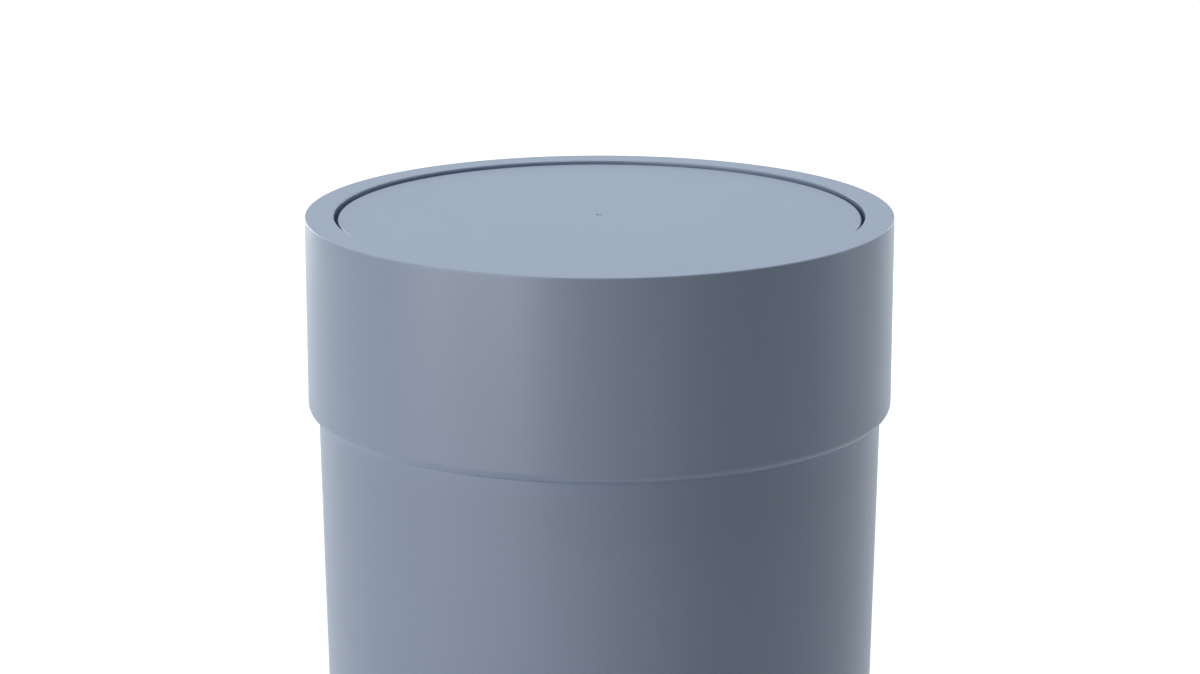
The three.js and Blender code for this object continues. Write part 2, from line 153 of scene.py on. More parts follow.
class BinSizes(bpy.types.PropertyGroup):
    """Sizes that the frame's boxes don't give."""

    turned_facets: whole("Large round facets", 288, 16, "Facets round the can, the collar and the disc")
    small_facets: whole("Small round facets", 48, 8, "Facets round the pins, bushes, screws, posts and pads")
    edge_steps: whole("Edge steps", 8, 2, "Faces across a rounded edge")
    small_edge: length("Small edge", 0.3, "Radius of the small edges of hidden parts")

    skirt_wall: length("Skirt wall", 3.0, "Wall of the collar's outer skirt")
    lip_edge: length("Lip edge", 3.0, "Radius of the lip's outer edge")
    lip_inner_edge: length("Lip inner edge", 0.4, "Radius of the lip's inner edge")
    flange_thickness: length("Flange thickness", 2.5, "Thickness of the collar's flat top")
    flange_width: length("Flange width", 9.7, "Width of the collar's flat top")
    mouth_wall: length("Mouth wall", 2.0, "Wall round the mouth, behind the disc's edge")
    mouth_wall_margin: length("Mouth wall margin", 4.6, "How far the mouth wall goes on below the pegs")
    collar_edge: length("Collar edge", 0.5, "Radius of the collar's upper edge")
    mouth_edge: length("Mouth edge", 0.5, "Radius of the edge round the mouth")

    seat_rib_width: length("Seat rib width", 1.6, "Width of a rib that stands on the can's rim")
    seat_rib_height: length("Seat rib height", 6.0, "Height of a rib that stands on the can's rim")
    boss_wall: length("Boss wall", 1.5, "Wall of the bosses round the bushes")
    peg_radius: length("Peg radius", 2.0, "Radius of the pegs that stop the disc")
    peg_reach: length("Peg reach", 7.5, "How far the pegs stand out of the mouth wall")
    peg_across: length("Peg place", 7.29, "Distance of the pegs from the middle plane")
    peg_drop: length("Peg drop", 12.54, "Distance of the pegs below the swing axis")

    can_wall: length("Can wall", 2.2, "Wall of the can")
    can_floor: length("Can floor", 2.5, "Thickness of the can's floor")
    foot_ring_height: length("Foot ring height", 2.0, "How far the foot ring stands below the floor")
    foot_ring_width: length("Foot ring width", 26.0, "Width of the foot ring")
    foot_edge: length("Foot edge", 3.0, "Radius of the can's lower outer edge")
    inner_corner: length("Inner corner", 4.0, "Radius between the can's wall and its floor")
    pad_edge: length("Pad edge", 0.5, "Radius of a pad's lower edge")

    disc_thickness: length("Disc thickness", 3.0, "Thickness of the disc's plate")
    disc_edge: length("Disc edge", 0.8, "Radius of the disc's upper edge")
    disc_rim_wall: length("Disc rim wall", 2.0, "Wall of the disc's down-turned rim")
    disc_rim_depth: length("Disc rim depth", 11.0, "Depth of the disc's rim below its plate")
    ring_rib_inset: length("Ring rib inset", 32.3, "Distance of the ring rib from the disc's edge")
    ring_rib_height: length("Ring rib height", 4.0, "Height of the ring rib under the disc")
    rib_wall: length("Rib wall", 1.6, "Thickness of the ribs under the disc")
    spine_height: length("Spine height", 10.0, "Height of the long ribs between the ears")
    spine_place: length("Spine place", 7.0, "Distance of the long ribs from the middle plane")
    gate_mark_radius: length("Gate mark radius", 1.4, "Radius of the moulding mark in the disc's centre")
    gate_mark_depth: length("Gate mark depth", 0.45, "Depth of the moulding mark in the disc's centre")
    gate_nub_radius: length("Gate nub radius", 0.55, "Radius of the trimmed nub inside the moulding mark")
    ear_top_half_width: length("Ear half width", 9.0, "Half the width of an ear at the plate")
    ear_end_radius: length("Ear end", 6.0, "Radius of an ear's round end")
    rim_cut_half_width: length("Rim cut", 22.0, "Half the width of the cuts in the disc's rim")
    post_radius: length("Post radius", 4.0, "Radius of the posts that hold the counterweight")

    fit_clearance: length("Fit clearance", 0.15, "Clearance round a piece that sits tight in another")
    pin_head_thickness: length("Pin head", 1.5, "Thickness of a pivot pin's head")
    pin_radius: length("Pin radius", 2.0, "Radius of a pivot pin")
    bush_bore: length("Bush bore", 2.3, "Radius of a bush's bore")
    bush_wall: length("Bush wall", 1.2, "Wall of a bush")
    bush_flange_thickness: length("Bush flange", 1.2, "Thickness of a bush's flange")
    weight_corner: length("Weight corner", 4.0, "Radius of the counterweight's corners")
    screw_radius: length("Screw radius", 1.5, "Radius of a screw's shank")
    screw_head_height: length("Screw head", 2.2, "Height of a screw's head")
    thread_pitch: length("Thread pitch", 0.8, "Pitch of a screw's thread")


class BinFinishes(bpy.types.PropertyGroup):
    """Colours of the bin's materials, each under its material's name, and the plastic's roughness."""

    matt_plastic: colour("Plastic", 0.324, 0.392, 0.538, "Matt blue-grey of the can, the collar and the disc")
    plastic_roughness: share("Plastic roughness", 0.36, "Roughness of the matt plastic")
    bush_plastic: colour("Bush plastic", 0.78, 0.76, 0.70, "Natural white of the bushes")
    bar_steel: colour("Steel", 0.42, 0.43, 0.44, "Bar steel of the counterweight")
    pin_steel: colour("Pin steel", 0.56, 0.57, 0.58, "Turned steel of the pivot pins")
    screw_zinc: colour("Zinc", 0.60, 0.63, 0.65, "Zinc plate of the screws")
    pad_rubber: colour("Rubber", 0.024, 0.026, 0.028, "Dark rubber of the pads")


class BinStage(bpy.types.PropertyGroup):
    """Camera, floor and surroundings."""

    photo_width: whole("Image width", 1200, 1, "Width of the image, in pixels")
    focal_pixels: FloatProperty(
        name="Focal length", description="Focal length of the view, in pixels", default=3316.5
    )
    camera_distance: distance("Camera distance", 1.0863, "Level distance from the can's middle to the camera")
    camera_rise: distance("Camera rise", 0.2298, "Height of the camera above the collar's top")
    camera_side: distance("Camera side", 0.00015, "How far to the right of the can's middle the camera is")
    camera_dip: FloatProperty(
        name="Camera dip",
        description="How far the camera looks down",
        default=math.radians(14.115),
        subtype="ANGLE",
        unit="ROTATION",
    )
    floor_colour: colour("Floor", 0.65, 0.65, 0.65, "Pale floor under the can, as the bin's surfaces see it")
    floor_white: share("Floor white", 0.70, "White of the floor under the bin, beside its lit colour")
    floor_near: distance("Floor near", 0.3, "Distance from the bin at which the floor starts to turn white")
    floor_far: distance("Floor far", 1.1, "Distance from the bin at which the floor is fully white")
    surround: colour("Surround", 0.01, 0.01, 0.01, "Soft light from all round")
    gloss_white: colour("White in gloss", 0.85, 0.95, 1.0, "Colour of the white surroundings in reflections")


class Wiring:
    """Adds nodes to one tree and joins them."""

    def __init__(self, tree):
        self.tree = tree

    def feed(self, socket, value):
        """Joins an input to another node's output, or sets it to a plain value."""
        if isinstance(value, bpy.types.NodeSocket):
            self.tree.links.new(value, socket)
        else:
            socket.default_value = value

    def node(self, kind, inputs=None, **settings):
        """A node of a kind, with its settings and its inputs."""
        made = self.tree.nodes.new(kind)
        for name, value in settings.items():
            setattr(made, name, value)
        for key, value in (inputs or {}).items():
            self.feed(made.inputs[key], value)
        return made

    def math(self, operation, *values):
        """The result of a sum on single values."""
        return self.node("ShaderNodeMath", dict(enumerate(values)), operation=operation).outputs[0]

    def whole(self, operation, *values):
        """The result of a sum on whole numbers."""
        return self.node("FunctionNodeIntegerMath", dict(enumerate(values)), operation=operation).outputs[0]

    def mix(self, factor, first, second):
        """A colour between two others; inputs 6 and 7 and output 2 are the node's colours."""
        inputs = {"Factor": factor, 6: first, 7: second}
        return self.node("ShaderNodeMix", inputs, data_type="RGBA").outputs[2]


def cleared(holder):
    """The wiring of a material or a world, emptied."""
    holder.use_nodes = True
    holder.node_tree.nodes.clear()
    return Wiring(holder.node_tree)


def new_tree(name, kind, inputs, output):
    """The wiring of a new node tree, the sockets of its named inputs, and its one output."""
    tree = bpy.data.node_groups.new(name, kind)
    for socket_name, socket_type, default in inputs:
        socket = tree.interface.new_socket(
            name=socket_name, in_out="INPUT", socket_type=f"NodeSocket{socket_type}"
        )
        if default is not None:
            socket.default_value = default
    output_name, output_type = output
    tree.interface.new_socket(name=output_name, in_out="OUTPUT", socket_type=f"NodeSocket{output_type}")
    wiring = Wiring(tree)
    return wiring, wiring.node("NodeGroupInput").outputs, wiring.node("NodeGroupOutput").inputs[0]


def tree_named(name, make, *arguments):
    """The node tree of that name, made when it is first asked for."""
    return bpy.data.node_groups.get(name) or make(*arguments)


def finish_geometry(wiring, geometry, material, result):
    """Ends a geometry tree: real geometry with its material."""
    real = wiring.node("GeometryNodeRealizeInstances", {"Geometry": geometry})
    painted = wiring.node("GeometryNodeSetMaterial", {"Geometry": real.outputs[0], "Material": material})
    wiring.feed(result, painted.outputs[0])


def turned_tree():
    """Turns an outline about the Z axis: the outline's points lie at X from the axis and at their Z."""
    wiring, given, result = new_tree(
        "Turned Piece",
        "GeometryNodeTree",
        [
            ("Outline", "Geometry", None),
            ("Facets", "Int", 48),
            ("Weld Distance", "Float", WELD_DISTANCE),
            ("Material", "Material", None),
        ],
        ("Geometry", "Geometry"),
    )
    outline, facets = given["Outline"], given["Facets"]
    count = wiring.node("GeometryNodeAttributeDomainSize", {0: outline}).outputs["Point Count"]
    columns = wiring.whole("ADD", facets, 1)
    grid = wiring.node("GeometryNodeMeshGrid", {"Vertices X": columns, "Vertices Y": count})
    index = wiring.node("GeometryNodeInputIndex").outputs[0]
    column = wiring.whole("DIVIDE_FLOOR", index, count)
    row = wiring.whole("MODULO", index, count)
    position = wiring.node("GeometryNodeInputPosition").outputs[0]
    sample = wiring.node(
        "GeometryNodeSampleIndex",
        {"Geometry": outline, "Index": row, "Value": position},
        data_type="FLOAT_VECTOR",
        domain="POINT",
    )
    step = wiring.math("DIVIDE", math.tau, facets)
    angle = wiring.math("MULTIPLY", column, step)
    turn = {"Vector": sample.outputs[0], "Angle": angle}
    swept = wiring.node("ShaderNodeVectorRotate", turn, rotation_type="Z_AXIS")
    move = {"Geometry": grid.outputs[0], "Position": swept.outputs[0]}
    placed = wiring.node("GeometryNodeSetPosition", move)
    weld = {"Geometry": placed.outputs[0], "Distance": given["Weld Distance"]}
    welded = wiring.node("GeometryNodeMergeByDistance", weld)
    finish_geometry(wiring, welded.outputs[0], given["Material"], result)
    return wiring.tree


def repeated_tree(operation):
    """Joins or cuts copies of a feature, set evenly round the Z axis."""
    wiring, given, result = new_tree(
        f"Repeated {operation.title()}",
        "GeometryNodeTree",
        [
            ("Geometry", "Geometry", None),
            ("Feature", "Object", None),
            ("Count", "Int", 2),
            ("First Angle", "Float", 0.0),
            ("Material", "Material", None),
        ],
        ("Geometry", "Geometry"),
    )
    feature = wiring.node("GeometryNodeObjectInfo", {"Object": given["Feature"]}).outputs["Geometry"]
    points = wiring.node("GeometryNodePoints", {"Count": given["Count"]}).outputs[0]
    index = wiring.node("GeometryNodeInputIndex").outputs[0]
    step = wiring.math("DIVIDE", math.tau, given["Count"])
    turn = wiring.math("MULTIPLY_ADD", index, step, given["First Angle"])
    euler = wiring.node("ShaderNodeCombineXYZ", {"Z": turn}).outputs[0]
    rotation = wiring.node("FunctionNodeEulerToRotation", {0: euler}).outputs[0]
    copied = {"Points": points, "Instance": feature, "Rotation": rotation}
    copies = wiring.node("GeometryNodeInstanceOnPoints", copied)
    real = wiring.node("GeometryNodeRealizeInstances", {"Geometry": copies.outputs[0]})
    boolean = wiring.node("GeometryNodeMeshBoolean", operation=operation, solver="MANIFOLD")
    own_input = "Mesh 1" if operation == "DIFFERENCE" else "Mesh 2"
    wiring.feed(boolean.inputs[own_input], given["Geometry"])
    wiring.feed(boolean.inputs["Mesh 2"], real.outputs[0])
    finish_geometry(wiring, boolean.outputs[0], given["Material"], result)
    return wiring.tree


def add_nodes_modifier(piece, tree, values):
    """Adds a Geometry Nodes modifier with its inputs set by name."""
    modifier = piece.modifiers.new(tree.name, "NODES")
    modifier.node_group = tree
    sockets = tree.interface.items_tree
    identifiers = {socket.name: socket.identifier for socket in sockets if socket.in_out == "INPUT"}
    for name, value in values.items():
        modifier[identifiers[name]] = value


def joined(feature, count=2, first_angle=0.0):
    """The step that joins copies of a feature, set evenly round the axis."""
    return "UNION", feature, count, first_angle


def cut(feature, count=2, first_angle=0.0):
    """The step that cuts copies of a feature, set evenly round the axis."""
    return "DIFFERENCE", feature, count, first_angle


def new_object(name, data):
    """A new object in the scene."""
    made = bpy.data.objects.new(name, data)
    bpy.context.scene.collection.objects.link(made)
    return made


def object_from(shape, name):
    """A new object from a shape that is being edited."""
    mesh = bpy.data.meshes.new(name)
    shape.to_mesh(mesh)
    shape.free()
    return new_object(name, mesh)


def made_plain(source, name):
    """A plain mesh object from an object with modifiers, its faces outward and its edges marked."""
    graph = bpy.context.evaluated_depsgraph_get()
    mesh = bpy.data.meshes.new_from_object(source.evaluated_get(graph))
    mesh.name = name
    bpy.data.objects.remove(source)
    shape = bmesh.new()
    shape.from_mesh(mesh)
    bmesh.ops.remove_doubles(shape, verts=shape.verts, dist=WELD_DISTANCE)
    bmesh.ops.dissolve_degenerate(shape, edges=shape.edges, dist=WELD_DISTANCE)
    bmesh.ops.recalc_face_normals(shape, faces=shape.faces)
    open_edges = [edge for edge in shape.edges if not edge.is_manifold]
    if open_edges:
        raise RuntimeError(f"{name} isn't closed: {len(open_edges)} open edges")
    shape.to_mesh(mesh)
    shape.free()
    mesh.shade_smooth()
    mesh.set_sharp_from_angle(angle=math.radians(SHARP_DEGREES))
    return new_object(name, mesh)


def worked_piece(source, name, material, steps):
    """A plain piece from an object and its steps; the features that the steps use are then removed."""
    for operation, feature, count, first_angle in steps:
        tree = tree_named(f"Repeated {operation.title()}", repeated_tree, operation)
        values = {"Feature": feature, "Count": count, "First Angle": first_angle, "Material": material}
        add_nodes_modifier(source, tree, values)
    piece = made_plain(source, name)
    for feature in dict.fromkeys(step[1] for step in steps):
        bpy.data.objects.remove(feature)
    return piece


def turned_piece(name, outline, facets, material, steps=()):
    """A piece turned from an outline, with the steps that join features to it or cut them from it."""
    mesh = bpy.data.meshes.new(name)
    mesh.from_pydata([(across, 0, up) for across, up in outline], [], [])
    source = new_object(f"{name}_outline", mesh)
    tree = tree_named("Turned Piece", turned_tree)
    add_nodes_modifier(source, tree, {"Facets": facets, "Material": material})
    return worked_piece(source, name, material, steps)


def place(piece, body, node):
    """Hangs a piece on the body that it rides on, and hides the node that it stands for."""
    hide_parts(node)
    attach(piece, body)


# Outlines: lists of points, each its distance from the axis and its level


def arc(across, up, radius, start_degrees, end_degrees, steps):
    """Points of a round stretch about a centre."""
    points = []
    for step in range(steps + 1):
        angle = math.radians(start_degrees + (end_degrees - start_degrees) * step / steps)
        points.append((across + radius * math.cos(angle), up + radius * math.sin(angle)))
    return points


def round_foot(inner, outer, level, radius, steps=SMALL_EDGE_STEPS):
    """The lower end of a wall between two radii, with both its edges rounded."""
    points = arc(inner + radius, level + radius, radius, 180, 270, steps)
    return points + arc(outer - radius, level + radius, radius, 270, 360, steps)


def supported(points):
    """An outline with extra points beside the bends of its long straight stretches."""
    result = [points[0]]
    for before, after in zip(points, points[1:]):
        run = Vector(after) - Vector(before)
        if run.length > SHORT_RUN:
            step = run.normalized() * SUPPORT_MARGIN
            result.append(tuple(Vector(before) + step))
            result.append(tuple(Vector(after) - step))
        result.append(after)
    return result


def can_foot_radius(sizes):
    """The can's outer radius just above its foot edge, from the node's own points."""
    wall_start = CAN_LOW.z + sizes.foot_edge + WELD_DISTANCE
    points = [vertex.co for vertex in frame["nodes"]["bin_body"].data.vertices]
    return max(math.hypot(point.x, point.y) for point in points if point.z < wall_start)


def can_outline(sizes):
    """The can: recessed underside, foot ring, tapered wall, straight neck, round rim, inside and floor."""
    steps = sizes.edge_steps
    foot, lip, neck = CAN_LOW.z, COLLAR_LOW.z, CAN_HIGH.x
    underside = foot + sizes.foot_ring_height
    floor = underside + sizes.can_floor
    foot_radius = can_foot_radius(sizes)
    foot_centre = foot + sizes.foot_edge
    ring_inner = foot_radius - sizes.foot_ring_width
    rim_round = sizes.can_wall / 2
    corner_level = floor + sizes.inner_corner
    risen = (corner_level - foot_centre) / (lip - foot_centre)
    corner_radius = foot_radius + (neck - foot_radius) * risen
    corner_centre = corner_radius - sizes.can_wall - sizes.inner_corner
    points = [(0, underside)]
    points += [(ring_inner - sizes.foot_ring_height, underside), (ring_inner, foot)]
    points += arc(foot_radius - sizes.foot_edge, foot_centre, sizes.foot_edge, -90, 0, steps)
    points += [(neck, lip)]
    points += arc(neck - rim_round, CAN_HIGH.z - rim_round, rim_round, 0, 180, 2 * steps)
    points += [(neck - sizes.can_wall, lip)]
    points += arc(corner_centre, corner_level, sizes.inner_corner, 0, -90, steps)
    points += [(0, floor)]
    return supported(points)


def lip_outline(sizes):
    """The collar's lip from its inside to its outside: a small rounded edge that runs into a large one."""
    inner, outer = sizes.lip_inner_edge, sizes.lip_edge
    meeting = math.acos(max(0.0, (outer + inner - sizes.skirt_wall) / (outer - inner)))
    inner_level = COLLAR_LOW.z + inner
    outer_level = inner_level + (outer - inner) * math.sin(meeting)
    inner_centre = COLLAR_HIGH.x - sizes.skirt_wall + inner
    degrees = math.degrees(meeting)
    points = arc(inner_centre, inner_level, inner, -180, -degrees, LIP_INNER_STEPS)
    points += arc(COLLAR_HIGH.x - outer, outer_level, outer, -degrees, 0, 2 * sizes.edge_steps)[1:]
    return points


def collar_outline(sizes):
    """The collar: lip, skirt, flat top, mouth wall and channel, closed on itself."""
    steps = sizes.edge_steps
    radius, top = COLLAR_HIGH.x, COLLAR_HIGH.z
    edge, mouth_edge = sizes.collar_edge, sizes.mouth_edge
    mouth = radius - sizes.flange_width
    mouth_outer = mouth + sizes.mouth_wall
    skirt = radius - sizes.skirt_wall
    flange = top - sizes.flange_thickness
    wall_end = AXIS_LEVEL - sizes.peg_drop - sizes.peg_radius - sizes.mouth_wall_margin
    points = lip_outline(sizes)
    points += arc(radius - edge, top - edge, edge, 0, 90, steps)
    points += arc(mouth + mouth_edge, top - mouth_edge, mouth_edge, 90, 180, steps)
    points += round_foot(mouth, mouth_outer, wall_end, sizes.small_edge)
    points += [(mouth_outer, flange), (skirt, flange), points[0]]
    return supported(points)


def disc_outline(sizes):
    """The disc: plate with a ring rib, a down-turned rim, a soft edge and the moulding mark."""
    radius, top, edge = DISC_HIGH.x, DISC_HIGH.z, sizes.disc_edge
    under = top - sizes.disc_thickness
    rim_inner = radius - sizes.disc_rim_wall
    rib_outer = radius - sizes.ring_rib_inset
    rib_inner = rib_outer - sizes.rib_wall
    mark, depth, nub = sizes.gate_mark_radius, sizes.gate_mark_depth, sizes.gate_nub_radius
    nub_level = top - depth / 3
    points = [(0, under), (rib_inner, under)]
    points += round_foot(rib_inner, rib_outer, under - sizes.ring_rib_height, sizes.small_edge)
    points += [(rib_outer, under), (rim_inner, under)]
    points += round_foot(rim_inner, radius, under - sizes.disc_rim_depth, sizes.small_edge)
    points += arc(radius - edge, top - edge, edge, 0, 90, sizes.edge_steps)
    points = supported(points + [(mark, top)])
    points += [(mark - depth / 2, top - depth / 4), (mark - depth, top - depth)]
    points += [(nub, top - depth), (nub - depth / 4, nub_level), (0, nub_level)]
    return points


# Features: small solids on the +X side that are joined to a turned piece or cut from it


def bevel_edges(shape, edges, radius, steps):
    """Rounds some edges of a shape that is being edited."""
    bmesh.ops.bevel(shape, geom=edges, offset=radius, segments=steps, profile=0.5, affect="EDGES")


def block(name, low, high, bevel=0.0):
    """A block between two corners, its edges bevelled."""
    shape = bmesh.new()
    size = [top - bottom for bottom, top in zip(low, high)]
    middle = [(top + bottom) / 2 for bottom, top in zip(low, high)]
    matrix = Matrix.Translation(middle) @ Matrix.Diagonal((*size, 1))
    bmesh.ops.create_cube(shape, size=1, matrix=matrix)
    if bevel:
        bevel_edges(shape, shape.edges[:], bevel, BLOCK_EDGE_STEPS)
    return object_from(shape, name)


def rod(name, facets, radius, start, end):
    """A rod between two points."""
    start, end = Vector(start), Vector(end)
    run = end - start
    turn = Vector((0, 0, 1)).rotation_difference(run).to_matrix().to_4x4()
    matrix = Matrix.Translation((start + end) / 2) @ turn
    shape = bmesh.new()
    sizes = {"radius1": radius, "radius2": radius, "depth": run.length}
    bmesh.ops.create_cone(shape, cap_ends=True, segments=facets, matrix=matrix, **sizes)
    return object_from(shape, name)


def upright_rod(name, facets, radius, out, low, high):
    """A rod along Z in the middle plane, between two levels."""
    return rod(name, facets, radius, (out, 0, low), (out, 0, high))


def level_rod(name, facets, radius, start, end, across=0, level=AXIS_LEVEL):
    """A rod along X, on the swing axis or beside it."""
    return rod(name, facets, radius, (start, across, level), (end, across, level))


def prism(base, run):
    """A shape to edit, stretched from a flat base along a run, its faces outward."""
    shape = bmesh.new()
    face = shape.faces.new([shape.verts.new(point) for point in base])
    raised = bmesh.ops.extrude_face_region(shape, geom=[face])["geom"]
    moved = [part for part in raised if isinstance(part, bmesh.types.BMVert)]
    bmesh.ops.translate(shape, verts=moved, vec=run)
    bmesh.ops.recalc_face_normals(shape, faces=shape.faces)
    return shape


def ear(name, facets, sizes, inner_face, outer_face, top):
    """A plate that narrows from the disc to a round end about the swing axis."""
    half_width = sizes.ear_top_half_width
    outline = [(-half_width, top)]
    outline += arc(0, AXIS_LEVEL, sizes.ear_end_radius, 180, 360, facets // 2)
    outline += [(half_width, top)]
    base = [(inner_face, across, up) for across, up in outline]
    return object_from(prism(base, (outer_face - inner_face, 0, 0)), name)


# Shader groups: effects that several materials use

# The mean of noise, and how much the fine noise counts beside the slow one
NOISE_MIDDLE = 0.5
FINE_SHARE = 0.5


def object_coordinates(wiring):
    """The object's own coordinates."""
    return wiring.node("ShaderNodeTexCoord").outputs["Object"]


def noise(wiring, vector, scale, detail=2.0, roughness=0.5):
    """Soft noise from 0 to 1."""
    values = {"Vector": vector, "Scale": scale, "Detail": detail, "Roughness": roughness}
    return wiring.node("ShaderNodeTexNoise", values).outputs["Fac"]


def drift_group():
    """Slow and fine drift of a moulded or rolled colour."""
    wiring, given, result = new_tree(
        "Colour Drift",
        "ShaderNodeTree",
        [
            ("Vector", "Vector", None),
            ("Colour", "Color", (0.5, 0.5, 0.5, 1)),
            ("Slow Scale", "Float", 18.0),
            ("Fine Scale", "Float", 900.0),
            ("Amount", "Float", 0.03),
        ],
        ("Colour", "Color"),
    )
    slow = noise(wiring, given["Vector"], given["Slow Scale"], detail=3.0)
    fine = noise(wiring, given["Vector"], given["Fine Scale"], detail=1.0)
    both = wiring.math("MULTIPLY_ADD", fine, FINE_SHARE, slow)
    centred = wiring.math("SUBTRACT", both, NOISE_MIDDLE * (1 + FINE_SHARE))
    gain = wiring.math("MULTIPLY_ADD", centred, given["Amount"], 1.0)
    scaled = wiring.node("ShaderNodeVectorMath", {0: given["Colour"], "Scale": gain}, operation="SCALE")
    wiring.feed(result, scaled.outputs[0])
    return wiring.tree


def grain_group():
    """Height of a fine eroded mould texture: shallow pits between small hills."""
    wiring, given, result = new_tree(
        "Mould Grain",
        "ShaderNodeTree",
        [("Vector", "Vector", None), ("Scale", "Float", 2200.0), ("Pits", "Float", 0.4)],
        ("Height", "Float"),
    )
    vector, scale = given["Vector"], given["Scale"]
    hills = noise(wiring, vector, scale, roughness=0.6)
    cells = wiring.node("ShaderNodeTexVoronoi", {"Vector": vector, "Scale": scale}, feature="SMOOTH_F1")
    wiring.feed(result, wiring.math("MULTIPLY_ADD", cells.outputs["Distance"], given["Pits"], hills))
    return wiring.tree


def handling_group():
    """Roughness with soft patches where hands and cloths have passed."""
    wiring, given, result = new_tree(
        "Handling",
        "ShaderNodeTree",
        [
            ("Vector", "Vector", None),
            ("Roughness", "Float", 0.5),
            ("Scale", "Float", 26.0),
            ("Amount", "Float", 0.05),
        ],
        ("Roughness", "Float"),
    )
    patches = noise(wiring, given["Vector"], given["Scale"], detail=4.0, roughness=0.6)
    centred = wiring.math("SUBTRACT", patches, NOISE_MIDDLE)
    wiring.feed(result, wiring.math("MULTIPLY_ADD", centred, given["Amount"], given["Roughness"]))
    return wiring.tree


def lines_group():
    """Height of the fine lines that turning or drawing leaves, across a chosen direction."""
    wiring, given, result = new_tree(
        "Tool Lines",
        "ShaderNodeTree",
        [("Vector", "Vector", None), ("Stretch", "Vector", (4000.0, 60.0, 60.0)), ("Detail", "Float", 3.0)],
        ("Height", "Float"),
    )
    factors = {0: given["Vector"], 1: given["Stretch"]}
    stretched = wiring.node("ShaderNodeVectorMath", factors, operation="MULTIPLY")
    wiring.feed(result, noise(wiring, stretched.outputs[0], 1.0, given["Detail"]))
    return wiring.tree


GROUP_MAKERS = {
    "Colour Drift": drift_group,
    "Mould Grain": grain_group,
    "Handling": handling_group,
    "Tool Lines": lines_group,
}


def group_node(wiring, name, inputs):
    """The result of a shader group placed in a material, with its own values."""
    tree = tree_named(name, GROUP_MAKERS[name])
    return wiring.node("ShaderNodeGroup", inputs, node_tree=tree).outputs[0]


# Materials

DUST_COLOUR = (0.16, 0.15, 0.14, 1)
PLASTIC_IOR = 1.5

# Bare metals: roughness, how the tool lines are stretched, and the strength of their bump
METALS = {
    "bar_steel": (0.42, (60.0, 3500.0, 3500.0), 0.22),
    "pin_steel": (0.28, (7000.0, 90.0, 90.0), 0.16),
    "screw_zinc": (0.3, (900.0, 900.0, 3000.0), 0.1),
}


def opaque(tint):
    """A colour as the four numbers that a socket holds."""
    return (*tint, 1)


def new_material(name, finishes, drift, handling, relief, bump):
    """A material with a drifting colour, a handled surface and a fine relief, with its wiring and shader.

    drift and handling are values for those groups, relief is a group and its values, and bump is
    the relief's strength and its depth in metres.
    """
    material = bpy.data.materials.new(name)
    wiring = cleared(material)
    vector = {"Vector": object_coordinates(wiring)}
    tint = {"Colour": opaque(getattr(finishes, name))}
    relief_group, relief_values = relief
    strength, depth = bump
    height = group_node(wiring, relief_group, vector | relief_values)
    normal = wiring.node("ShaderNodeBump", {"Height": height, "Strength": strength, "Distance": depth})
    surface = {
        "Base Color": group_node(wiring, "Colour Drift", vector | tint | drift),
        "Roughness": group_node(wiring, "Handling", vector | handling),
        "Normal": normal.outputs[0],
    }
    shader = wiring.node("ShaderNodeBsdfPrincipled", surface)
    wiring.node("ShaderNodeOutputMaterial", {"Surface": shader.outputs[0]})
    return material, wiring, shader


def plastic_material(name, finishes):
    """Matt soft-touch moulded plastic: a fine grain and a slow drift of colour."""
    material, _, shader = new_material(
        name,
        finishes,
        drift={"Amount": 0.05, "Slow Scale": 14.0},
        handling={"Roughness": finishes.plastic_roughness, "Amount": 0.06},
        relief=("Mould Grain", {"Scale": 2400.0}),
        bump=(0.12, 0.06 * MILLIMETRE),
    )
    shader.inputs["IOR"].default_value = PLASTIC_IOR
    return material


def bush_material(name, finishes):
    """Smooth natural-white bearing plastic with faint turning lines."""
    return new_material(
        name,
        finishes,
        drift={"Amount": 0.06, "Slow Scale": 120.0},
        handling={"Roughness": 0.34, "Amount": 0.1, "Scale": 260.0},
        relief=("Tool Lines", {"Stretch": (6000.0, 90.0, 90.0)}),
        bump=(0.1, 0.03 * MILLIMETRE),
    )[0]


def metal_material(name, finishes):
    """Bare metal with the lines of its making."""
    roughness, stretch, strength = METALS[name]
    material, _, shader = new_material(
        name,
        finishes,
        drift={"Amount": 0.16, "Slow Scale": 90.0},
        handling={"Roughness": roughness, "Amount": 0.16, "Scale": 140.0},
        relief=("Tool Lines", {"Stretch": stretch}),
        bump=(strength, 0.04 * MILLIMETRE),
    )
    shader.inputs["Metallic"].default_value = 1
    return material


def rubber_material(name, finishes):
    """Dark moulded rubber with a pebbled skin and a little dust."""
    material, wiring, shader = new_material(
        name,
        finishes,
        drift={"Amount": 0.3, "Slow Scale": 200.0},
        handling={"Roughness": 0.82, "Amount": 0.12, "Scale": 200.0},
        relief=("Mould Grain", {"Scale": 1400.0}),
        bump=(0.3, 0.1 * MILLIMETRE),
    )
    base = shader.inputs["Base Color"]
    clean = base.links[0].from_socket
    patches = noise(wiring, object_coordinates(wiring), scale=420.0, detail=4.0, roughness=0.7)
    thinned = {"Value": patches, "From Min": 0.55, "From Max": 0.9, "To Max": 0.25}
    dust = wiring.node("ShaderNodeMapRange", thinned)
    wiring.feed(base, wiring.mix(dust.outputs[0], clean, DUST_COLOUR))
    return material


MATERIAL_MAKERS = {
    "matt_plastic": plastic_material,
    "bush_plastic": bush_material,
    "bar_steel": metal_material,
    "pin_steel": metal_material,
    "screw_zinc": metal_material,
    "pad_rubber": rubber_material,
}


def material_named(context, name):
    """The material of that name, made when it is first asked for."""
    return bpy.data.materials.get(name) or MATERIAL_MAKERS[name](name, context.scene.bin_finishes)


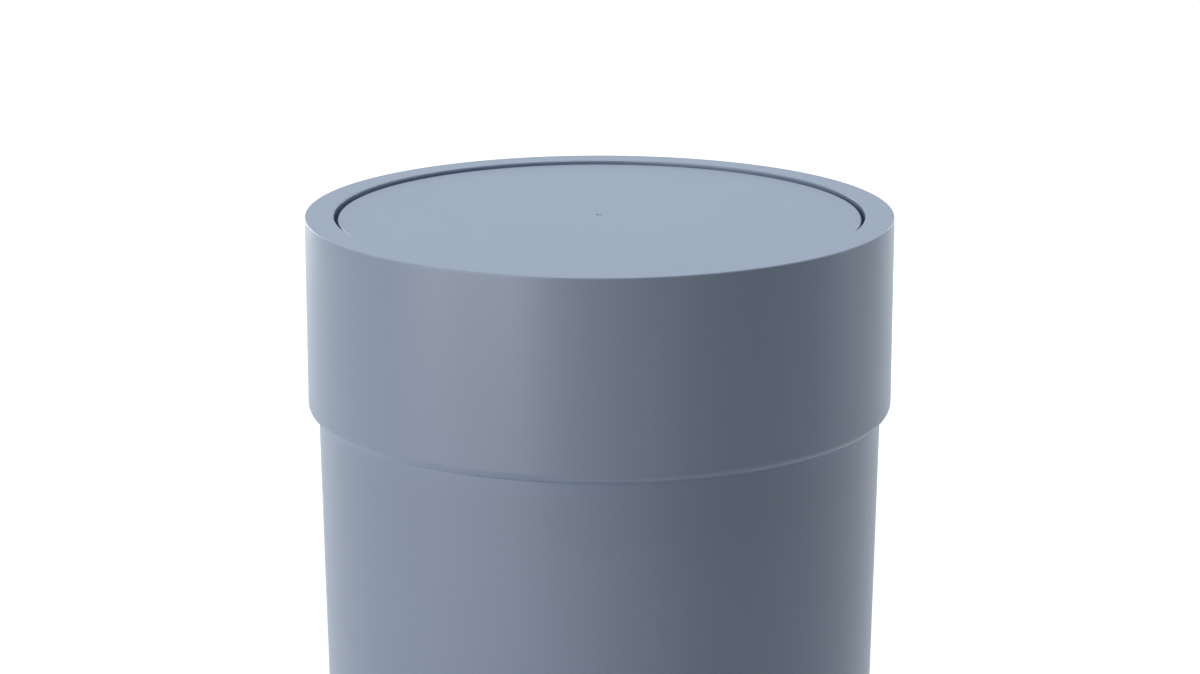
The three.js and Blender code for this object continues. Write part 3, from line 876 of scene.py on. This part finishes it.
class BIN_OT_can(bpy.types.Operator):
    """Builds the tapered can, with pockets in its foot ring for the pads"""

    bl_idname = "bin.can"
    bl_label = "Can"

    def execute(self, context):
        sizes = context.scene.bin_sizes
        middle = (PAD_LOW.x + PAD_HIGH.x) / 2
        radius = PAD_RADIUS + sizes.fit_clearance
        pocket_top = PAD_HIGH.z + 2 * sizes.fit_clearance
        pocket = upright_rod("pocket", sizes.small_facets, radius, middle, PAD_LOW.z - OVERRUN, pocket_top)
        material = material_named(context, "matt_plastic")
        steps = [cut(pocket, PAD_COUNT)]
        can = turned_piece("can_shell", can_outline(sizes), sizes.turned_facets, material, steps)
        place(can, "bin", "bin_body")
        return {"FINISHED"}


class BIN_OT_pads(bpy.types.Operator):
    """Builds the rubber pads in the foot ring"""

    bl_idname = "bin.pads"
    bl_label = "Pads"

    def execute(self, context):
        sizes = context.scene.bin_sizes
        material = material_named(context, "pad_rubber")
        edge = sizes.pad_edge
        points = [(0, PAD_LOW.z)]
        points += arc(PAD_RADIUS - edge, PAD_LOW.z + edge, edge, -90, 0, sizes.edge_steps)
        points += [(PAD_RADIUS, PAD_HIGH.z), (0, PAD_HIGH.z)]
        for number in range(1, PAD_COUNT + 1):
            node = f"foot_pad_{number}"
            low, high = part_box(node)
            pad = turned_piece(f"pad_{number}", supported(points), sizes.small_facets, material)
            pad.data.transform(Matrix.Translation(((low.x + high.x) / 2, (low.y + high.y) / 2, 0)))
            place(pad, "bin", node)
        return {"FINISHED"}


class BIN_OT_collar(bpy.types.Operator):
    """Builds the lift-off collar with its seat ribs, bearing bosses and stop pegs"""

    bl_idname = "bin.collar"
    bl_label = "Collar"

    def execute(self, context):
        sizes = context.scene.bin_sizes
        facets = sizes.small_facets
        mouth = COLLAR_HIGH.x - sizes.flange_width
        root = mouth + sizes.mouth_wall / 2
        flange = COLLAR_HIGH.z - sizes.flange_thickness
        half_rib = sizes.seat_rib_width / 2
        rib_low = (root, -half_rib, flange - sizes.seat_rib_height)
        rib_high = (COLLAR_HIGH.x - sizes.skirt_wall / 2, half_rib, flange + sizes.flange_thickness / 2)
        rib = block("rib", rib_low, rib_high, sizes.small_edge)
        bore_radius = sizes.bush_bore + sizes.bush_wall + sizes.fit_clearance
        boss_radius = sizes.bush_bore + sizes.bush_wall + sizes.boss_wall
        boss_end = PIN_HIGH.x + MILLIMETRE / 2
        boss = level_rod("boss", facets, boss_radius, root, boss_end)
        bore = level_rod("bore", facets, bore_radius, mouth - OVERRUN, boss_end + OVERRUN)
        peg_start, peg_level = mouth - sizes.peg_reach, AXIS_LEVEL - sizes.peg_drop
        pegs = [
            level_rod("peg", facets, sizes.peg_radius, peg_start, root, across, peg_level)
            for across in (-sizes.peg_across, sizes.peg_across)
        ]
        steps = [joined(rib, SEAT_RIB_COUNT, math.pi / SEAT_RIB_COUNT), joined(boss)]
        steps += [joined(peg) for peg in pegs]
        steps += [cut(bore)]
        material = material_named(context, "matt_plastic")
        collar = turned_piece("collar_ring", collar_outline(sizes), sizes.turned_facets, material, steps)
        place(collar, "lid", "lid_collar")
        return {"FINISHED"}


class BIN_OT_disc(bpy.types.Operator):
    """Builds the disc that tips, with its ears, ribs and posts"""

    bl_idname = "bin.disc"
    bl_label = "Disc"

    def execute(self, context):
        sizes = context.scene.bin_sizes
        facets = sizes.small_facets
        under = DISC_HIGH.z - sizes.disc_thickness
        inside_plate = under + sizes.disc_thickness / 2
        rim_inner = DISC_HIGH.x - sizes.disc_rim_wall
        ear_outer = BUSH_LOW.x - MILLIMETRE
        ear_inner = PIN_LOW.x + sizes.pin_head_thickness + sizes.fit_clearance
        lug = ear("ear", facets, sizes, ear_inner, ear_outer, inside_plate)

        cut_half = sizes.rim_cut_half_width
        cut_start = math.sqrt(rim_inner**2 - cut_half**2) - OVERRUN
        cut_low = (cut_start, -cut_half, under - sizes.disc_rim_depth - OVERRUN)
        rim_cut = block("rim_cut", cut_low, (DISC_HIGH.x + OVERRUN, cut_half, under))

        ribs = self.ribs(sizes, (ear_inner + ear_outer) / 2, under - sizes.spine_height, inside_plate)
        post = upright_rod("post", facets, sizes.post_radius, POST_PLACE, DISC_LOW.z, inside_plate)
        hole_radius = sizes.screw_radius + sizes.fit_clearance
        hole_start, hole_end = DISC_LOW.z - OVERRUN, SCREW_HIGH.z + 2 * MILLIMETRE
        hole = upright_rod("hole", facets, hole_radius, POST_PLACE, hole_start, hole_end)
        bore_radius = sizes.pin_radius + sizes.fit_clearance
        bore = level_rod("bore", facets, bore_radius, ear_inner - OVERRUN, ear_outer + OVERRUN)
        steps = [cut(rim_cut), joined(lug), *ribs, joined(post), cut(hole), cut(bore)]
        material = material_named(context, "matt_plastic")
        disc = turned_piece("tipping_disc", disc_outline(sizes), sizes.turned_facets, material, steps)
        place(disc, "flap", "swing_disc")
        return {"FINISHED"}

    def ribs(self, sizes, spine_end, low, high):
        """The steps that join two long ribs between the ears, and a web through each post."""
        half, spine_place = sizes.rib_wall / 2, sizes.spine_place
        bevel = half / 3
        steps = []
        for across in (-spine_place, spine_place):
            spine_low = (-spine_end, across - half, low)
            steps.append(joined(block("spine", spine_low, (spine_end, across + half, high), bevel), 1))
        web_low = (POST_PLACE - half, -spine_place, low)
        steps.append(joined(block("web", web_low, (POST_PLACE + half, spine_place, high), bevel)))
        return steps


def along_x(side):
    """The turn that lays a piece built upright along the swing axis, on the left or right side."""
    lay = Matrix.Rotation(math.pi / 2, 4, "Y")
    face = Matrix.Identity(4) if side == "right" else Matrix.Rotation(math.pi, 4, "Z")
    return face @ Matrix.Translation((0, 0, AXIS_LEVEL)) @ lay


class BIN_OT_pivots(bpy.types.Operator):
    """Builds the headed pins in the disc's ears and the flanged bushes in the collar"""

    bl_idname = "bin.pivots"
    bl_label = "Pivots"

    def execute(self, context):
        sizes = context.scene.bin_sizes
        for side in ("right", "left"):
            pin = self.pin(sizes, material_named(context, "pin_steel"), side)
            place(pin, "flap", f"{side}_pivot_pin")
            bush = self.bush(sizes, material_named(context, "bush_plastic"), side)
            place(bush, "lid", f"{side}_pivot_bush")
        return {"FINISHED"}

    def pin(self, sizes, material, side):
        """A pin with a low domed head and a chamfered end."""
        head_radius = PIN_HIGH.z - AXIS_LEVEL
        radius = sizes.pin_radius
        start, face, end = PIN_LOW.x, PIN_LOW.x + sizes.pin_head_thickness, PIN_HIGH.x
        dome = sizes.pin_head_thickness / 2
        soft = sizes.small_edge
        points = [(0, start)]
        points += arc(head_radius - dome, start + dome, dome, -90, 0, sizes.edge_steps)
        points += arc(head_radius - soft, face - soft, soft, 0, 90, SMALL_EDGE_STEPS)
        points += [(radius, face), (radius, end - soft), (radius - soft, end), (0, end)]
        pin = turned_piece(f"{side}_pin", supported(points), sizes.small_facets, material)
        pin.data.transform(along_x(side))
        return pin

    def bush(self, sizes, material, side):
        """A sleeve with a flange, its edges broken."""
        flange_radius = BUSH_HIGH.z - AXIS_LEVEL
        bore, sleeve = sizes.bush_bore, sizes.bush_bore + sizes.bush_wall
        start, face, end = BUSH_LOW.x, BUSH_LOW.x + sizes.bush_flange_thickness, BUSH_HIGH.x
        soft = sizes.small_edge
        points = round_foot(bore, flange_radius, start, soft, BUSH_EDGE_STEPS)
        points += arc(flange_radius - soft, face - soft, soft, 0, 90, BUSH_EDGE_STEPS)
        points += [(sleeve, face), (sleeve, end - soft), (sleeve - soft, end), (bore, end)]
        points.append(points[0])
        bush = turned_piece(f"{side}_bush", supported(points), sizes.small_facets, material)
        bush.data.transform(along_x(side))
        return bush


class BIN_OT_counterweight(bpy.types.Operator):
    """Builds the steel bar under the disc and the screws that hold it"""

    bl_idname = "bin.counterweight"
    bl_label = "Counterweight"

    def execute(self, context):
        sizes = context.scene.bin_sizes
        bar = self.bar(sizes, material_named(context, "bar_steel"))
        place(bar, "flap", "counterweight")
        for side, sign in (("right", 1), ("left", -1)):
            screw = self.screw(sizes, material_named(context, "screw_zinc"), side)
            screw.data.transform(Matrix.Translation((sign * POST_PLACE, 0, 0)))
            place(screw, "flap", f"{side}_weight_screw")
        return {"FINISHED"}

    def bar(self, sizes, material):
        """A flat bar with round corners, broken edges and a hole at each post."""
        corner = sizes.weight_corner
        bottom, top = WEIGHT_LOW.z, WEIGHT_HIGH.z
        outline = []
        for side_x, side_y, start in ((1, 1, 0), (-1, 1, 90), (-1, -1, 180), (1, -1, 270)):
            centre_x = side_x * (WEIGHT_HIGH.x - corner)
            centre_y = side_y * (WEIGHT_HIGH.y - corner)
            outline += arc(centre_x, centre_y, corner, start, start + 90, sizes.edge_steps)
        shape = prism([(across, along, bottom) for across, along in outline], (0, 0, top - bottom))
        rims = [edge for edge in shape.edges if abs(edge.verts[0].co.z - edge.verts[1].co.z) < WELD_DISTANCE]
        bevel_edges(shape, rims, sizes.small_edge, BAR_EDGE_STEPS)
        blank = object_from(shape, "bar_blank")
        radius = sizes.screw_radius + 2 * sizes.fit_clearance
        hole = upright_rod("hole", sizes.small_facets, radius, POST_PLACE, bottom - OVERRUN, top + OVERRUN)
        return worked_piece(blank, "weight_bar", material, [cut(hole)])

    def screw(self, sizes, material, side):
        """A pan-head screw, head down, with a cross recess and thread rings."""
        head_radius = (SCREW_HIGH.x - SCREW_LOW.x) / 2
        bottom, top = SCREW_LOW.z, SCREW_HIGH.z
        face = bottom + sizes.screw_head_height
        dome = sizes.screw_head_height * HEAD_DOME
        radius, pitch = sizes.screw_radius, sizes.thread_pitch
        root = radius - pitch * THREAD_DEPTH
        points = [(0, bottom)]
        points += arc(head_radius - dome, bottom + dome, dome, -90, 0, sizes.edge_steps)
        points += [(head_radius, face), (radius, face)]
        points = supported(points)
        for turn in range(int((top - face - 2 * MILLIMETRE) / pitch)):
            level = face + MILLIMETRE / 2 + turn * pitch
            points += [(root, level), (radius, level + pitch / 2)]
        points += [(root, top - MILLIMETRE), (0, top)]
        slot_low = (-CROSS_HALF_LENGTH, -CROSS_HALF_WIDTH, bottom - OVERRUN)
        slot = block("slot", slot_low, (CROSS_HALF_LENGTH, CROSS_HALF_WIDTH, bottom + CROSS_DEPTH))
        steps = [cut(slot, 1, angle) for angle in (0.0, math.pi / 2)]
        return turned_piece(f"{side}_screw", points, sizes.small_facets, material, steps)


# The stage: the camera, the floor, the surroundings and the lamps

SENSOR_WIDTH = 36
FLOOR_HALF_WIDTH = 6.0
WHITE = (1, 1, 1, 1)
# The lamps face a point on the middle axis at this share of the bin's height
LAMP_TARGET = 0.75

# Each lamp: name, azimuth from the front towards +X, elevation, distance, width, height, power, tint
LAMPS = (
    ("top_softbox", 0, 88, 1.50, 0.7, 0.7, 12.6, (0.98, 1.0, 0.99)),
    ("left_front_softbox", -61, 6, 1.40, 0.45, 1.0, 8.4, (1.03, 1.0, 0.95)),
    ("left_fill_softbox", -42, 6, 1.40, 0.2, 1.0, 0.9, (1.03, 1.0, 0.95)),
    ("left_gloss_strip", -32, 6, 1.40, 0.5, 1.0, 10.5, (1.0, 1.0, 1.0)),
    ("left_back_softbox", -148, 6, 1.40, 0.3, 1.0, 4.3, (1.0, 1.0, 1.0)),
    ("right_back_softbox", 105, 6, 1.40, 0.3, 1.0, 1.7, (0.92, 1.0, 1.08)),
    ("back_softbox", 150, 6, 1.40, 0.3, 1.0, 2.3, (0.96, 1.0, 1.06)),
)
# Lamps that show in reflections and light nothing else
GLOSS_LAMPS = ("left_gloss_strip",)


class BIN_OT_stage(bpy.types.Operator):
    """Builds the camera, the pale floor, the lamps and the white surroundings"""

    bl_idname = "bin.stage"
    bl_label = "Stage"

    def execute(self, context):
        stage = context.scene.bin_stage
        context.scene.view_settings.view_transform = "Standard"
        self.camera(context, stage)
        self.floor(stage)
        self.surroundings(context, stage)
        for lamp in LAMPS:
            self.lamp(*lamp)
        return {"FINISHED"}

    def camera(self, context, stage):
        """The photo's view: in front of the bin, above it and looking down a little."""
        data = bpy.data.cameras.new("camera")
        data.sensor_width = SENSOR_WIDTH
        data.lens = SENSOR_WIDTH * stage.focal_pixels / stage.photo_width
        camera = new_object("camera", data)
        camera.location = (stage.camera_side, -stage.camera_distance, COLLAR_HIGH.z + stage.camera_rise)
        camera.rotation_euler = (math.pi / 2 - stage.camera_dip, 0, 0)
        context.scene.camera = camera

    def seen_directly(self, wiring):
        """1 for rays that show the surroundings: from the camera, in gloss and through glass."""
        rays = wiring.node("ShaderNodeLightPath").outputs
        direct = wiring.math("MAXIMUM", rays["Is Camera Ray"], rays["Is Glossy Ray"])
        return wiring.math("MAXIMUM", direct, rays["Is Transmission Ray"])

    def seen_colour(self, wiring, stage):
        """White where the camera sees the surroundings, and a cooler white in reflections."""
        glossy = wiring.node("ShaderNodeLightPath").outputs["Is Glossy Ray"]
        return wiring.mix(glossy, WHITE, opaque(stage.gloss_white))

    def floor(self, stage):
        """A wide pale floor that keeps the bin's shadow and turns white further out."""
        half = FLOOR_HALF_WIDTH
        mesh = bpy.data.meshes.new("floor")
        corners = [(-half, -half, 0), (half, -half, 0), (half, half, 0), (-half, half, 0)]
        mesh.from_pydata(corners, [], [(0, 1, 2, 3)])
        floor = new_object("floor", mesh)
        material = bpy.data.materials.new("pale_floor")
        wiring = cleared(material)
        lit = wiring.node("ShaderNodeBsdfDiffuse", {"Color": opaque(stage.floor_colour)})
        away = wiring.node("ShaderNodeVectorMath", {0: object_coordinates(wiring)}, operation="LENGTH")
        ramp = {"From Min": stage.floor_near, "From Max": stage.floor_far, "To Min": stage.floor_white}
        whiter = wiring.node(
            "ShaderNodeMapRange", {"Value": away.outputs["Value"], **ramp}, interpolation_type="SMOOTHSTEP"
        )
        strength = wiring.math("MULTIPLY", self.seen_directly(wiring), whiter.outputs[0])
        seen = self.seen_colour(wiring, stage)
        white = wiring.node("ShaderNodeEmission", {"Color": seen, "Strength": strength})
        both = wiring.node("ShaderNodeAddShader", {0: lit.outputs[0], 1: white.outputs[0]})
        wiring.node("ShaderNodeOutputMaterial", {"Surface": both.outputs[0]})
        material.cycles.emission_sampling = "NONE"
        mesh.materials.append(material)

    def surroundings(self, context, stage):
        """White where they are seen, and a soft dim light where they only light the bin."""
        world = bpy.data.worlds.new("surroundings")
        context.scene.world = world
        wiring = cleared(world)
        light = wiring.node("ShaderNodeBackground", {"Color": opaque(stage.surround)})
        white = wiring.node("ShaderNodeBackground", {"Color": self.seen_colour(wiring, stage)})
        shaders = {0: self.seen_directly(wiring), 1: light.outputs[0], 2: white.outputs[0]}
        chosen = wiring.node("ShaderNodeMixShader", shaders)
        wiring.node("ShaderNodeOutputWorld", {"Surface": chosen.outputs[0]})
        world.cycles.sampling_method = "NONE"

    def lamp(self, name, azimuth, elevation, reach, width, height, power, tint):
        """A soft area lamp that faces the bin's upper half."""
        target = Vector((0, 0, LAMP_TARGET * COLLAR_HIGH.z))
        turn, rise = math.radians(azimuth), math.radians(elevation)
        level = math.cos(rise)
        direction = Vector((math.sin(turn) * level, -math.cos(turn) * level, math.sin(rise)))
        data = bpy.data.lights.new(name, "AREA")
        data.shape = "RECTANGLE"
        data.size, data.size_y = width, height
        data.energy = power
        data.color = tint
        lamp = new_object(name, data)
        lamp.location = target + reach * direction
        lamp.rotation_euler = (-direction).to_track_quat("-Z", "Y").to_euler()
        lamp.visible_camera = False
        lamp.visible_diffuse = name not in GLOSS_LAMPS


PIECE_OPERATORS = (BIN_OT_can, BIN_OT_pads, BIN_OT_collar, BIN_OT_disc, BIN_OT_pivots, BIN_OT_counterweight)


class BIN_PT_panel(bpy.types.Panel):
    """Lists the bin's pieces and the stage in the sidebar"""

    bl_idname = "BIN_PT_panel"
    bl_label = "Bin"
    bl_space_type = "VIEW_3D"
    bl_region_type = "UI"
    bl_category = "Bin"

    def draw(self, context):
        column = self.layout.column()
        for operator in (*PIECE_OPERATORS, BIN_OT_stage):
            column.operator(operator.bl_idname)


CLASSES = (BinSizes, BinFinishes, BinStage, *PIECE_OPERATORS, BIN_OT_stage, BIN_PT_panel)


def register():
    """Registers the classes and hangs the property groups on the scene."""
    for made_class in CLASSES:
        bpy.utils.register_class(made_class)
    bpy.types.Scene.bin_sizes = PointerProperty(type=BinSizes)
    bpy.types.Scene.bin_finishes = PointerProperty(type=BinFinishes)
    bpy.types.Scene.bin_stage = PointerProperty(type=BinStage)


def unregister():
    """Takes the property groups and the classes away again."""
    del bpy.types.Scene.bin_stage
    del bpy.types.Scene.bin_finishes
    del bpy.types.Scene.bin_sizes
    for made_class in reversed(CLASSES):
        bpy.utils.unregister_class(made_class)


def main():
    """Builds the whole bin and its stage."""
    register()
    bpy.ops.bin.can()
    bpy.ops.bin.pads()
    bpy.ops.bin.collar()
    bpy.ops.bin.disc()
    bpy.ops.bin.pivots()
    bpy.ops.bin.counterweight()
    bpy.ops.bin.stage()


if __name__ == "__main__":
    main()
